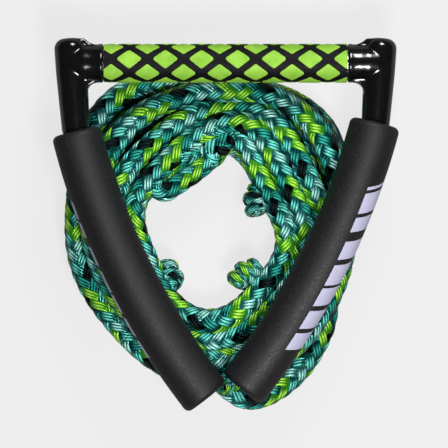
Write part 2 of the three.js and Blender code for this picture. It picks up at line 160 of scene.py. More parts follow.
LINE_WIDTH = 16.2 * MM              # a soft hollow braid, which flattens where it is piled
LINE_THICKNESS = 12.8 * MM
COIL_CENTRE = np.array([-10.0, -10.0]) * MM
COIL_OUTER = np.array([108, 121, 131, 118, 136, 122, 112, 107, 110, 114, 113, 109]) * MM
COIL_INNER = np.array([50, 45, 56, 66, 55, 57, 50, 46, 53, 58, 50, 48]) * MM
COIL_TOP = -19.3 * MM
COIL_TURNS = 10.28
COIL_START = math.radians(-28)
LEAD_ROUTE = np.array([
    [-0.5, -121.5, -25], [7.5, -129.5, -29.1], [18, -134, -36.1], [32, -131, -45.6],
    [47, -121, -51.3], [60, -107, -52.7], [70, -91, -52.8], [77, -75, -52.8], [80, -58, -52.8],
]) * MM
LAYERS = np.array([-53.1, -39.6, -26.2]) * MM      # middles of the three layers of turns
LANE_TURNS = [0, 3.1, 3.5, 6.5, 6.9, 9.35, 10.3]  # where the line reaches an edge of the pile
LANE_AT = [1, 0, 0, 1, 1, 0, 0]                   # 1 at the outer edge, 0 at the inner one
LAYER_TURNS = [0, 3.1, 3.4, 6.5, 6.8, 10.3]
LAYER_AT = [0, 0, 1, 1, 2, 2]
EYE_MOUTH = np.array([-2.0, 60.4, -28.6]) * MM     # where the line enters the splice of the eye
EYE_HEADING = math.radians(33)
EYE_BEND = 42 * MM                  # how far from the eye's mouth its bend begins
HELD_AT_LEAD = 125 * MM             # stretches that stay put while the turns settle
HELD_AT_EYE = 40 * MM
POINT_GAP = 5.2 * MM


def ring_at(values, angle):
    """A smooth closed outline through twelve radii, read at any angle"""
    waves = np.fft.rfft(values) / len(values)
    total = np.full_like(angle, waves[0].real)
    for order in range(1, len(waves)):
        share = 1 if order == len(values) // 2 else 2
        total += share * (waves[order] * np.exp(1j * order * angle)).real
    return total


def smooth_route(points, gap):
    """A rounded line through points, with new points a gap apart"""
    points = np.asarray(points, float)
    ends = np.vstack([2 * points[0] - points[1], points, 2 * points[-1] - points[-2]])
    t = np.linspace(0, 1, 24, endpoint=False)[:, None]
    pieces = []
    for i in range(1, len(ends) - 2):
        a, b, c, d = ends[i - 1:i + 3]
        pieces.append(0.5 * (2 * b + (c - a) * t + (2 * a - 5 * b + 4 * c - d) * t ** 2
                             + (3 * b - a - 3 * c + d) * t ** 3))
    fine = np.vstack(pieces + [points[-1:]])
    return spread_evenly(fine, gap)


def spread_evenly(points, gap):
    """The same line with its points a gap apart"""
    run = np.concatenate([[0], np.cumsum(np.linalg.norm(np.diff(points, axis=0), axis=1))])
    count = max(2, int(round(run[-1] / gap)) + 1)
    at = np.linspace(0, run[-1], count)
    return np.column_stack([np.interp(at, run, points[:, k]) for k in range(3)])


def first_lay():
    """The coil as it is wound: three layers of lanes, outside in, inside out and outside in again"""
    count = int(COIL_TURNS * 120)
    turn = np.linspace(0, COIL_TURNS, count)
    angle = COIL_START + 2 * math.pi * turn
    lane = np.interp(turn, LANE_TURNS, LANE_AT)
    wander = 0.07 * np.sin(2 * math.pi * turn * 0.77 + 1.0) + 0.06 * np.sin(2 * math.pi * turn * 1.31)
    loose = np.interp(turn, [0, 2, 7, 8.5, 9.3, 9.5], [0, 0.6, 1, 3.2, 1, 0])
    lane = np.clip(lane + wander * loose, 0, 1)
    half = LINE_WIDTH / 2
    inner = ring_at(COIL_INNER, angle) + half
    outer = ring_at(COIL_OUTER, angle) - half
    radius = inner + lane * (outer - inner)
    layer = np.interp(turn, LAYER_TURNS, LAYER_AT)
    height = np.interp(layer, [0, 1, 2], LAYERS)
    return np.column_stack([COIL_CENTRE[0] + radius * np.cos(angle),
                            COIL_CENTRE[1] + radius * np.sin(angle), height])


def lead_into_eye(points):
    """Replace the last stretch by a bend that runs into the eye's throat along its own direction"""
    away = np.array([math.cos(EYE_HEADING), math.sin(EYE_HEADING), 0])
    bend = [EYE_MOUTH + away * 13 * MM, EYE_MOUTH]
    side = np.linalg.norm(points[:, :2] - EYE_MOUTH[:2], axis=1)
    last = len(points) - 1
    while side[last] < EYE_BEND:
        last -= 1
    return smooth_route(np.vstack([points[:last:6], points[last], bend]), POINT_GAP)


def push_apart(points, fixed, rounds=260):
    """Let the turns settle: each keeps a rope's width from the rest, inside the pile's space"""
    squeeze = LINE_WIDTH / LINE_THICKNESS
    p = points.copy()
    home = points.copy()
    count = len(p)
    near_self = int(2.2 * LINE_WIDTH / POINT_GAP)
    lowest = FLOOR + LINE_THICKNESS / 2 + RELIEF * 0.8      # the strands stand out past the thickness
    highest = COIL_TOP - LINE_THICKNESS / 2
    half = LINE_WIDTH / 2
    for step in range(rounds):
        if step % 12 == 0:
            scaled = p * np.array([1, 1, squeeze])
            flat = np.sum(scaled ** 2, axis=1)
            gap2 = flat[:, None] + flat[None, :] - 2 * scaled @ scaled.T
            first, second = np.nonzero(np.triu(gap2 < (1.5 * LINE_WIDTH) ** 2, near_self))
        apart = (p[first] - p[second]) * np.array([1, 1, squeeze])
        distance = np.linalg.norm(apart, axis=1) + 1e-9
        overlap = np.clip(LINE_WIDTH - distance, 0, None) * 0.4
        push = apart / distance[:, None] * overlap[:, None] / np.array([1, 1, squeeze])
        move = np.zeros_like(p)
        touch = np.ones(count)
        for axis in range(3):
            move[:, axis] += np.bincount(first, push[:, axis], count)
            move[:, axis] -= np.bincount(second, push[:, axis], count)
        hit = overlap > 0
        touch += 0.35 * (np.bincount(first, hit, count) + np.bincount(second, hit, count))
        move /= touch[:, None]
        shift = p + move - home
        shift[1:-1] = 0.5 * shift[1:-1] + 0.25 * (shift[:-2] + shift[2:])
        p = home + shift * 0.995
        span = p[:, :2] - COIL_CENTRE
        angle = np.arctan2(span[:, 1], span[:, 0])
        radius = np.linalg.norm(span, axis=1)
        inner = ring_at(COIL_INNER, angle) + half * 0.85
        outer = ring_at(COIL_OUTER, angle) - half
        kept = np.clip(radius, inner, outer)
        p[:, :2] = COIL_CENTRE + span * (kept / radius)[:, None]
        p[:, 2] = np.clip(p[:, 2], lowest, highest)
        p[fixed] = points[fixed]
    return p


def settle_line():
    coil = lead_into_eye(first_lay())
    lead = smooth_route(LEAD_ROUTE, POINT_GAP)
    whole = np.vstack([lead[:-1], coil])
    whole = spread_evenly(whole, POINT_GAP)
    run = np.arange(len(whole)) * POINT_GAP
    fixed = (run < HELD_AT_LEAD) | (run > run[-1] - HELD_AT_EYE)
    settled = push_apart(whole, fixed)
    for _ in range(3):
        settled[1:-1] = 0.5 * settled[1:-1] + 0.25 * (settled[:-2] + settled[2:])
    return settled


# ---------------------------------------------------------------- braided rope as a mesh

STRANDS = 6                         # strands that lean each way round the braid
YARNS = 3                           # yarns side by side in a strand
BRAID_LAY = 64 * MM                 # length in which a strand goes once round
RING_GAP = 1.45 * MM
SIDES = 40
RELIEF = 0.9 * MM


def braid_height(u, v):
    """How far the braid stands out at a place round (u) and along (v): each strand humps over two others"""
    a = STRANDS * (u + v)
    b = STRANDS * (u - v)
    right = (np.floor(a) + np.floor(b)) % 4 < 2
    along = np.where(right, (np.floor(a) + b) % 4, (np.floor(b) + a) % 4 - 2) / 2
    across = np.where(right, a % 1, b % 1)
    hump = np.sin(math.pi * along) ** 0.7
    body = 1 - np.abs(2 * across - 1) ** 2.5
    return hump * body


def sections(points):
    """Directions along, sideways and upwards at each point of a route"""
    along = np.gradient(points, axis=0)
    along /= np.linalg.norm(along, axis=1)[:, None]
    up = np.array([0, 0, 1.0])
    side = np.cross(up, along)
    length = np.linalg.norm(side, axis=1)
    for i in np.nonzero(length < 0.15)[0]:
        side[i] = side[i - 1] if i else (1, 0, 0)
    side /= np.linalg.norm(side, axis=1)[:, None]
    side -= along * np.sum(side * along, axis=1)[:, None]
    side /= np.linalg.norm(side, axis=1)[:, None]
    return along, side, np.cross(along, side)


def braid_tube(name, route, width, thickness, material, start=0.0, gap=RING_GAP, sides=SIDES,
               relief=RELIEF, lay=BRAID_LAY, roll=0.0):
    """A closed tube of braid along a route, its section wider than thick, with the strands in relief"""
    fine = smooth_route(route, gap)
    count = len(fine)
    share = np.linspace(0, 1, count)
    width, thickness = (np.interp(share, np.linspace(0, 1, np.size(size)), np.atleast_1d(size))
                        for size in (width, thickness))
    run = start + np.concatenate([[0], np.cumsum(np.linalg.norm(np.diff(fine, axis=0), axis=1))])
    _, side, up = sections(fine)
    turn = np.arange(sides + 1) / sides
    twist = roll + 0.09 * np.sin(run / (190 * MM)) + run / (900 * MM)
    u = turn[None, :-1] + twist[:, None]
    v = np.repeat((run / lay)[:, None], sides, axis=1)
    lift = relief * (braid_height(u, v) - 0.55)
    swell = 1 + 0.05 * np.sin(run / (37 * MM)) + 0.03 * np.sin(run / (13.7 * MM) + 2)
    phi = 2 * math.pi * turn[:-1]
    wide = (width / 2 * swell)[:, None] + lift
    thick = (thickness / 2 / swell ** 0.5)[:, None] + lift
    place = (fine[:, None, :] + side[:, None, :] * (wide * np.cos(phi))[:, :, None]
             + up[:, None, :] * (thick * np.sin(phi))[:, :, None])
    ring = np.arange(count - 1)[:, None] * sides
    here = np.arange(sides)[None, :]
    after = (here + 1) % sides
    quads = np.stack([ring + here, ring + after, ring + sides + after, ring + sides + here], axis=2)
    faces = quads.reshape(-1, 4).tolist()
    faces.append(list(range(sides))[::-1])
    faces.append([(count - 1) * sides + i for i in range(sides)])
    mesh = bpy.data.meshes.new(name)
    mesh.from_pydata(place.reshape(-1, 3).tolist(), [], faces)
    corner_u = turn[None, :] + twist[:, None]
    corner_v = run / lay
    low_u = np.stack([corner_u[:-1, :-1], corner_u[:-1, 1:], corner_u[1:, 1:], corner_u[1:, :-1]], axis=2)
    low_v = np.stack([corner_v[:-1], corner_v[:-1], corner_v[1:], corner_v[1:]], axis=1)
    low_v = np.repeat(low_v[:, None, :], sides, axis=1)
    cap_u = np.concatenate([corner_u[0, :-1][::-1], corner_u[-1, :-1]])
    cap_v = np.concatenate([np.full(sides, corner_v[0]), np.full(sides, corner_v[-1])])
    flat = np.column_stack([np.concatenate([low_u.reshape(-1), cap_u]),
                            np.concatenate([low_v.reshape(-1), cap_v])])
    layer = mesh.uv_layers.new(name="braid")
    layer.data.foreach_set("uv", flat.astype(np.float32).reshape(-1))
    mesh.polygons.foreach_set("use_smooth", [True] * len(mesh.polygons))
    mesh.materials.append(material)
    piece = bpy.data.objects.new(name, mesh)
    bpy.context.scene.collection.objects.link(piece)
    return piece, fine, run[-1]


def braided_polypropylene(name, palette):
    """Glossy ribbon-like film yarns, laid side by side and braided: each yarn has a painted highlight
    streak down its crown, and painted shade where it dives under the next strand"""
    material, tree = new_material(name)
    uv = add_node(tree, "UVMap", uv_map="braid")
    split = add_node(tree, "SeparateXYZ", {0: uv}).node
    u, v = split.outputs["X"], split.outputs["Y"]
    plus = add_node(tree, "Math", {0: u, 1: v}, operation="ADD")
    minus = add_node(tree, "Math", {0: u, 1: v}, operation="SUBTRACT")
    a = add_node(tree, "Math", {0: plus, 1: STRANDS}, operation="MULTIPLY")
    b = add_node(tree, "Math", {0: minus, 1: STRANDS}, operation="MULTIPLY")
    whole_a = add_node(tree, "Math", {0: a}, operation="FLOOR")
    whole_b = add_node(tree, "Math", {0: b}, operation="FLOOR")
    total = add_node(tree, "Math", {0: whole_a, 1: whole_b}, operation="ADD")
    phase = add_node(tree, "Math", {0: total, 1: 4.0}, operation="FLOORED_MODULO")
    right = add_node(tree, "Math", {0: phase, 1: 1.5}, operation="LESS_THAN")
    # how far along its own hump the upper strand is
    run_a = add_node(tree, "Math", {0: whole_a, 1: b}, operation="ADD")
    run_a = add_node(tree, "Math", {0: run_a, 1: 4.0}, operation="FLOORED_MODULO")
    run_b = add_node(tree, "Math", {0: whole_b, 1: a}, operation="ADD")
    run_b = add_node(tree, "Math", {0: run_b, 1: 4.0}, operation="FLOORED_MODULO")
    run_b = add_node(tree, "Math", {0: run_b, 1: 2.0}, operation="SUBTRACT")
    run = add_node(tree, "Mix", {0: right, 2: run_b, 3: run_a}, data_type="FLOAT")
    hump = add_node(tree, "Math", {0: run, 1: math.pi / 2}, operation="MULTIPLY")
    hump = add_node(tree, "Math", {0: hump}, operation="SINE")
    # how far across the strand, and across the yarn in it
    part_a = add_node(tree, "Math", {0: a}, operation="FRACT")
    part_b = add_node(tree, "Math", {0: b}, operation="FRACT")
    across = add_node(tree, "Mix", {0: right, 2: part_b, 3: part_a}, data_type="FLOAT")
    yarns = add_node(tree, "Math", {0: across, 1: float(YARNS)}, operation="MULTIPLY")
    yarn = add_node(tree, "Math", {0: yarns}, operation="FRACT")
    crown = add_node(tree, "Math", {0: yarn, 1: math.pi}, operation="MULTIPLY")
    crown = add_node(tree, "Math", {0: crown}, operation="SINE")
    # which strand it is picks its colour
    strand_a = add_node(tree, "Math", {0: whole_a, 1: float(STRANDS)}, operation="FLOORED_MODULO")
    strand_b = add_node(tree, "Math", {0: whole_b, 1: float(STRANDS)}, operation="FLOORED_MODULO")
    strand_b = add_node(tree, "Math", {0: strand_b, 1: float(STRANDS)}, operation="ADD")
    strand = add_node(tree, "Mix", {0: right, 2: strand_b, 3: strand_a}, data_type="FLOAT")
    place = add_node(tree, "Math", {0: strand, 1: 0.5}, operation="ADD")
    place = add_node(tree, "Math", {0: place, 1: 2.0 * STRANDS}, operation="DIVIDE")
    # each strand's painted shade colour, and its painted highlight colour
    dark = add_node(tree, "ValToRGB", {0: place})
    light = add_node(tree, "ValToRGB", {0: place})
    for output, shade in ((dark, 0), (light, 1)):
        ramp = output.node.color_ramp
        ramp.interpolation = "CONSTANT"
        for i, yarn_colour in enumerate(palette):
            stop = ramp.elements[i] if i < 2 else ramp.elements.new(i / len(palette))
            stop.position = i / len(palette)
            stop.color = paint(YARN_COLOURS[yarn_colour][shade])
    # filaments: long thin flecks that follow the strand and break up the painted highlight
    yarn_id = add_node(tree, "Math", {0: yarns, 1: 9.0}, operation="MULTIPLY")
    fleck_at = add_node(tree, "CombineXYZ", {0: yarn_id, 1: run, 2: total})
    fleck = add_node(tree, "TexNoise", {"Vector": fleck_at, "Scale": 1.6, "Detail": 2.0})
    # painted highlight on each yarn's crown at the top of its hump, fading to painted shade where it dives
    # under
    painted_glint = add_node(tree, "Math", {0: hump, 1: 2.2}, operation="POWER")
    painted_highlight = add_node(tree, "Math", {0: painted_glint, 1: crown}, operation="MULTIPLY")
    painted_highlight = add_node(tree, "Math", {0: painted_highlight, 1: fleck}, operation="MULTIPLY")
    painted_highlight = add_node(tree, "MapRange", {0: painted_highlight, 1: 0.07, 2: 0.6})
    colour = add_node(tree, "Mix", {0: painted_highlight, 6: dark, 7: light}, out=2, data_type="RGBA")
    height = add_node(tree, "Math", {0: crown, 1: hump}, operation="MULTIPLY")
    bump = add_node(tree, "Bump", {"Height": height, "Strength": 1.0, "Distance": 0.0007})
    shader = add_node(tree, "BsdfPrincipled", {"Base Color": colour, "Roughness": 0.26, "IOR": 1.5,
                                               "Specular IOR Level": 1.0,
                                               "Specular Tint": light, "Normal": bump})
    add_node_output(tree, shader)
    return material


YARN_COLOURS = {                    # painted shade where the yarn dives under a crossing, and painted highlight on the crown of the yarn
    "teal": ("#04302F", "#6BE0D0"),
    "pale": ("#084343", "#ABF3E4"),
    "deep": ("#032525", "#2FA797"),
    "lime": ("#236A18", "#ACF04C"),
    "black": ("#010202", "#182325"),
}
LINE_PALETTE = ["lime", "lime", "teal", "pale", "teal", "deep",
                "teal", "pale", "lime", "teal", "deep", "black"]

line_braid = braided_polypropylene("braided_polypropylene_line", LINE_PALETTE)
line_route = settle_line()

LEAD_POINTS = 26                    # the stretch that lifts with the bridle
COIL_PIECES = 3
PRESSED = 1.07                      # how much further a turn spreads where its neighbours leave room


def lay_line():
    """The line in four lengths that join end to end: the lead from the bridle knot, then the coil"""
    rest = len(line_route) - 1 - LEAD_POINTS
    cuts = [0] + [LEAD_POINTS + rest * i // COIL_PIECES for i in range(COIL_PIECES + 1)]
    start = 0.0
    for i in range(len(cuts) - 1):
        stretch = line_route[cuts[i]:cuts[i + 1] + 1]
        name = "tow_line_lead" if i == 0 else f"tow_line_coil_{i}"
        piece, fine, end = braid_tube(name, stretch, LINE_WIDTH * PRESSED, LINE_THICKNESS,
                                      line_braid, start)
        if i == 0:
            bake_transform(piece)
            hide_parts("rope_lead")
        else:
            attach(piece, "line")
            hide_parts("rope_coil")
        start = end
    print("tow line", round(start, 3), "m")


# ---------------------------------------------------------------- knots and the eye

STOPPER_KNOTS = [                   # middle, radius across, half length and turn in degrees
    ([24, 16, -31.6], 10.5, 12.5, 100), ([15, -40, -31.6], 11, 13, 55),
    ([-43, -42, -33.6], 10.5, 12.5, 120),
]
BRIDLE_KNOT = [-0.5, -121.5, -25]
EYE_BIGHT = np.array([-46.5, 31.5, -28.6])
EYE_WIDTH = 7.4
EYE_LENGTH = 38


def knot_route(middle, across, along, turn, winds=2.4, tube=4.6):
    """A rope's path wound round itself, with its two ends tucked into the middle"""
    part = np.linspace(0, 1, 44)
    angle = 2 * math.pi * winds * part + 0.6
    reach = (across - tube) * np.clip(np.sin(math.pi * part) * 2.4, 0.25, 1)
    drift = (along - tube) * np.cos(math.pi * part) * 0.92
    spin = math.radians(turn)
    axis = np.array([math.cos(spin), math.sin(spin), 0])
    side = np.array([-math.sin(spin), math.cos(spin), 0])
    lean = 2.2 * np.sin(angle)
    points = (axis * (drift + lean)[:, None] + side * (reach * np.cos(angle))[:, None]
              + np.array([0, 0, 1]) * (reach * np.sin(angle))[:, None])
    return (points + np.array(middle)) * MM


def tie_knots():
    for i, (middle, across, along, turn) in enumerate(STOPPER_KNOTS, 1):
        route = knot_route(middle, across, along, turn)
        piece, _, _ = braid_tube(f"stopper_knot_wound_{i}", route, 10.4 * MM, 8.8 * MM, line_braid,
                                 start=0.31 * i, gap=1.3 * MM, sides=32, relief=0.6 * MM, lay=40 * MM)
        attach(piece, "line")
        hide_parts(f"stopper_knot_{i}")
    route = knot_route(BRIDLE_KNOT, 9.4, 10.5, 20)
    piece, _, _ = braid_tube("bridle_knot_wound", route, 9.2 * MM, 8.2 * MM, line_braid,
                             start=0.11, gap=1.3 * MM, sides=32, relief=0.6 * MM, lay=40 * MM)
    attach(piece, "bridle")
    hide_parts("bridle_knot")


def eye_place(along, across, rise=0.0):
    """A point of the eye, from its own length and width to the object's frame"""
    spin = EYE_HEADING
    return (EYE_BIGHT + np.array([along * math.cos(spin) - across * math.sin(spin),
                                  along * math.sin(spin) + across * math.cos(spin), rise])) * MM


def splice_eye():
    """The soft eye at the line's far end: two legs, a round end, and the splice where they merge"""
    arc = [(EYE_WIDTH * math.cos(math.radians(d)), EYE_WIDTH * math.sin(math.radians(d)))
           for d in (90, 115, 140, 165, 195, 220, 245, 270)]
    legs = [(EYE_LENGTH + 9, 3.6), (EYE_LENGTH, 5.6), (EYE_LENGTH * 0.66, EYE_WIDTH),
            (EYE_LENGTH * 0.33, EYE_WIDTH)]
    route = [eye_place(*point) for point in legs + arc + [(x, -y) for x, y in reversed(legs)]]
    eye, _, _ = braid_tube("tow_eye_loop", np.array(route), 15.4 * MM, 12 * MM, line_braid, start=0.02,
                           gap=1.3 * MM)
    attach(eye, "line")
    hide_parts("tow_eye")
    throat = np.array([eye_place(x, 0, 0) for x in (EYE_LENGTH - 3, EYE_LENGTH + 4, EYE_LENGTH + 12,
                                                    EYE_LENGTH + 18)])
    splice, _, _ = braid_tube("eye_splice_braid", throat, [24.5 * MM, 25 * MM, 20 * MM, 16.5 * MM],
                              [13.5 * MM, 14.5 * MM, 14.5 * MM, 13 * MM], line_braid, start=0.5)
    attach(splice, "line")
    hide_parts("eye_splice")


# ---------------------------------------------------------------- the handle's own sizes, in millimetres

BAR_Y = 119
GRIP_LENGTH = 181.5
GRIP_RADIUS = 14.6
ARM_SPACING = 230.6
ARM_LENGTH = 54
ARM_LEAN = math.radians(4)
ARM_IN_FLOAT = 6.27
FLOAT_RADIUS = 18.8
FLOAT_RIM = 4.5
FLOAT_BEND = 530
MOUTH_Y = BAR_Y - ARM_LENGTH * math.cos(ARM_LEAN) + ARM_IN_FLOAT
TIP_Y = -127.6
TIP_LEAN = -0.9
TIP_GAP = 1.2
SLIDE = 3.3
MOUTH_BORE = 12.6
MOUTH_FLARE = 0.8
MOUTH_DEPTH = 12
BORE_SHOULDER = 5
BORE_RADIUS = 5.8
BRIDLE_RADIUS = 5
ROPE_BREAK = 2
ROPE_TURNS_DOWN = 34


def arm_at_height(side, y):
    """Where an arm's leaning axis crosses a height"""
    down = (BAR_Y - y) / math.cos(ARM_LEAN)
    return np.array([side * (ARM_SPACING / 2 - down * math.sin(ARM_LEAN)), y])


def float_arc(side, tip_spread):
    """The arc that a float follows, from its mouth round the arm to its tip"""
    mouth = arm_at_height(side, MOUTH_Y + side * SLIDE)
    tip = np.array([side * tip_spread + TIP_LEAN, TIP_Y + side * SLIDE])
    chord = tip - mouth
    half = math.asin(np.linalg.norm(chord) / 2 / FLOAT_BEND)
    lean = math.atan2(-side * chord[0], -chord[1])
    return {"side": side, "mouth": mouth, "length": 2 * half * FLOAT_BEND, "start": lean - half,
            "tip_angle": lean + half}


def settled_tip_spread():
    spread = FLOAT_RADIUS
    for _ in range(12):
        angle = (float_arc(-1, spread)["tip_angle"] + float_arc(1, spread)["tip_angle"]) / 2
        across = TIP_GAP / math.cos(angle) + 2 * FLOAT_RADIUS * math.cos(angle)
        spread = (across - 2 * SLIDE * math.tan(angle)) / 2
    return spread


def on_float(arc, along):
    """A point on a float's middle line, and the direction towards the inside of the V"""
    angle = arc["start"] + along / FLOAT_BEND
    x = arc["mouth"][0] + arc["side"] * FLOAT_BEND * (math.cos(angle) - math.cos(arc["start"]))
    y = arc["mouth"][1] - FLOAT_BEND * (math.sin(angle) - math.sin(arc["start"]))
    return np.array([x, y, 0.0]), np.array([-arc["side"] * math.cos(angle), math.sin(angle), 0.0])


TIP_SPREAD = settled_tip_spread()
FLOAT_ARCS = {"left": float_arc(-1, TIP_SPREAD), "right": float_arc(1, TIP_SPREAD)}

# ---------------------------------------------------------------- bridle rope in the floats


def bridle_route(arc):
    start = MOUTH_DEPTH + ROPE_BREAK
    leave = arc["length"] - ROPE_TURNS_DOWN
    points = [on_float(arc, start + (leave - start) * i / 6)[0] for i in range(7)]
    for before_tip, depth in ((22, 2.2), (13, 7.5)):
        points.append(on_float(arc, arc["length"] - before_tip)[0] - np.array([0, 0, depth]))
    x, y, z = BRIDLE_KNOT
    points.append(np.array([x + arc["side"] * 0.6 * BRIDLE_RADIUS, y + 2, z + 6]))
    return np.array(points) * MM


def lead_bridle_ropes():
    for word, arc in FLOAT_ARCS.items():
        width = 2 * BRIDLE_RADIUS * MM
        piece, _, _ = braid_tube(f"bridle_rope_in_float_{word}", bridle_route(arc), width, width,
                                 line_braid, gap=1.6 * MM, sides=24, relief=0.4 * MM, lay=36 * MM)
        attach(piece, "bridle")
        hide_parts(f"bridle_rope_{word}")


# ---------------------------------------------------------------- foam floats

FOAM_SIDES = 72
FOAM_STEP = 2.5                     # millimetres between rings along a float
PRINT_PITCH = 19.0                  # millimetres along the float for each printed bar
PRINT_LEAN = 0.055                  # metres that a bar leans in one turn round the float


def rounded(centre_r, centre_h, radius, first, last, steps=8):
    angles = np.radians(np.linspace(first, last, steps + 1))
    return [(centre_r + radius * math.cos(a), centre_h + radius * math.sin(a)) for a in angles]


def foam_profile(length):
    """Radius and distance along, from inside the mouth over the outside to inside the tip"""
    rim = FLOAT_RADIUS - FLOAT_RIM
    steps = int(length / FOAM_STEP)
    wall = [(FLOAT_RADIUS, FLOAT_RIM + (length - 2 * FLOAT_RIM) * i / steps) for i in range(1, steps)]
    bore_end = MOUTH_DEPTH + BORE_SHOULDER
    bore = [(BORE_RADIUS, length + (bore_end - length) * i / 20) for i in range(21)]
    return ([(MOUTH_BORE, 0.4)] + rounded(rim, FLOAT_RIM, FLOAT_RIM, -90, 0) + wall
            + rounded(rim, length - FLOAT_RIM, FLOAT_RIM, 0, 90) + [(BORE_RADIUS + 1, length)] + bore
            + [(MOUTH_BORE + MOUTH_FLARE, MOUTH_DEPTH)])


def foam_float(word, material):
    """A thick foam tube bent along its arc, a little uneven as soft foam is"""
    arc = FLOAT_ARCS[word]
    profile = foam_profile(arc["length"])
    phi = np.linspace(0, 2 * math.pi, FOAM_SIDES, endpoint=False)
    rows, marks = [], []
    for radius, along in profile:
        centre, inward = on_float(arc, along)
        uneven = 1 + 0.006 * math.sin(along / 17 + arc["side"]) + 0.004 * np.sin(3 * phi + along / 31)
        outside = radius > MOUTH_BORE + MOUTH_FLARE + 0.01
        reach = radius * (uneven if outside else 1)
        rows.append(centre + np.outer(reach * np.sin(phi), -inward)
                    + np.outer(reach * np.cos(phi), [0, 0, 1]))
        marks.append(along)
    place = np.vstack(rows) * MM
    count = len(rows)
    faces, corners = [], []
    for i in range(count):
        j = (i + 1) % count
        for k in range(FOAM_SIDES):
            m = (k + 1) % FOAM_SIDES
            quad = [i * FOAM_SIDES + k, i * FOAM_SIDES + m, j * FOAM_SIDES + m, j * FOAM_SIDES + k]
            turn = [(k, marks[i]), (k + 1, marks[i]), (k + 1, marks[j]), (k, marks[j])]
            if arc["side"] > 0:
                quad, turn = quad[::-1], turn[::-1]
            faces.append(quad)
            corners += [(part / FOAM_SIDES, along * MM) for part, along in turn]
    mesh = bpy.data.meshes.new(f"foam_float_{word}")
    mesh.from_pydata(place.tolist(), [], faces)
    layer = mesh.uv_layers.new(name="wrap")
    layer.data.foreach_set("uv", np.array(corners, np.float32).reshape(-1))
    mesh.materials.append(material)
    piece = bpy.data.objects.new(f"foam_float_{word}", mesh)
    bpy.context.scene.collection.objects.link(piece)
    for face in mesh.polygons:
        face.use_smooth = True
    return piece


def cut_rope_slot(piece, word):
    """Open the underside of the tip where the rope drops out to the knot"""
    arc = FLOAT_ARCS[word]
    route = bridle_route(arc)[-4:]
    slot, _, _ = braid_tube("slot_cutter", route, 2 * BORE_RADIUS * MM, 2 * BORE_RADIUS * MM,
                            piece.data.materials[0], gap=2 * MM, sides=20, relief=0)
    cut = piece.modifiers.new("rope_slot", "BOOLEAN")
    cut.operation = "DIFFERENCE"
    cut.solver = "EXACT"
    cut.object = slot
    deselect_all()
    bpy.context.view_layer.objects.active = piece
    piece.select_set(True)
    bpy.ops.object.modifier_apply(modifier=cut.name)
    bpy.data.objects.remove(slot)


def closed_cell_foam(name, print_from, print_to, print_low, print_high):
    """Charcoal EVA foam, sliced and buffed: matt, with fine cells that break up the light, and a
    screen-printed row of slanted bars in pale ink along one side"""
    material, tree = new_material(name)
    uv = add_node(tree, "UVMap", uv_map="wrap")
    split = add_node(tree, "SeparateXYZ", {0: uv}).node
    around, along = split.outputs["X"], split.outputs["Y"]
    place = add_node(tree, "TexCoord", out="Object")
    cells = add_node(tree, "TexVoronoi", {"Vector": place, "Scale": 1 / (0.9 * MM)})
    grain = add_node(tree, "TexNoise", {"Vector": place, "Scale": 1 / (1.6 * MM), "Detail": 3.0})
    cloud = add_node(tree, "TexNoise", {"Vector": place, "Scale": 1 / (28 * MM), "Detail": 2.0})
    shade = add_node(tree, "Mix", {0: cloud, 6: paint("#0B0B0D"), 7: paint("#121114")}, out=2,
                     data_type="RGBA")
    fleck = add_node(tree, "MapRange", {0: grain, 1: 0.35, 2: 0.75, 3: 0.75, 4: 1.35})
    shade = add_node(tree, "Mix", {0: 1.0, 6: shade, 7: fleck}, out=2, data_type="RGBA",
                     blend_type="MULTIPLY")
    # bars: a cell for each pitch along, leaning with the turn round the float
    lean = add_node(tree, "Math", {0: around, 1: PRINT_LEAN}, operation="MULTIPLY")
    slant = add_node(tree, "Math", {0: along, 1: lean}, operation="ADD")
    beat = add_node(tree, "Math", {0: slant, 1: PRINT_PITCH * MM}, operation="DIVIDE")
    part = add_node(tree, "Math", {0: beat}, operation="FRACT")
    which = add_node(tree, "Math", {0: beat}, operation="FLOOR")
    chance = add_node(tree, "TexWhiteNoise", {"W": which}, noise_dimensions="1D")
    fill = add_node(tree, "MapRange", {0: chance, 3: 0.6, 4: 0.9})
    bar = add_node(tree, "Math", {0: part, 1: fill}, operation="LESS_THAN")
    edge_low = add_node(tree, "Math", {0: around, 1: print_low / 360}, operation="GREATER_THAN")
    edge_high = add_node(tree, "Math", {0: around, 1: print_high / 360}, operation="LESS_THAN")
    begin = add_node(tree, "Math", {0: slant, 1: print_from * MM}, operation="GREATER_THAN")
    finish = add_node(tree, "Math", {0: slant, 1: print_to * MM}, operation="LESS_THAN")
    ink = bar
    for limit in (edge_low, edge_high, begin, finish):
        ink = add_node(tree, "Math", {0: ink, 1: limit}, operation="MULTIPLY")
    worn = add_node(tree, "MapRange", {0: grain, 1: 0.2, 2: 0.4, 3: 0.7, 4: 1.0})
    ink = add_node(tree, "Math", {0: ink, 1: worn}, operation="MULTIPLY")
    colour = add_node(tree, "Mix", {0: ink, 6: shade, 7: paint("#A9A8BF")}, out=2, data_type="RGBA")
    rough = add_node(tree, "MapRange", {0: grain, 1: 0.3, 2: 0.7, 3: 0.5, 4: 0.68})
    relief = add_node(tree, "Math", {0: cells, 1: grain}, operation="MULTIPLY")
    bump = add_node(tree, "Bump", {"Height": relief, "Strength": 0.35, "Distance": 0.0004})
    shader = add_node(tree, "BsdfPrincipled", {"Base Color": colour, "Roughness": rough, "IOR": 1.45,
                                               "Specular IOR Level": 0.42, "Normal": bump})
    add_node_output(tree, shader)
    return material


def make_floats():
    prints = {"left": (60, 186, 66, 140), "right": (52, 186, 26, 104)}
    for word in ("left", "right"):
        material = closed_cell_foam(f"closed_cell_foam_{word}", *prints[word])
        piece = foam_float(word, material)
        cut_rope_slot(piece, word)
        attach(piece, "bridle")
        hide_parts(f"float_{word}")


# ---------------------------------------------------------------- grip

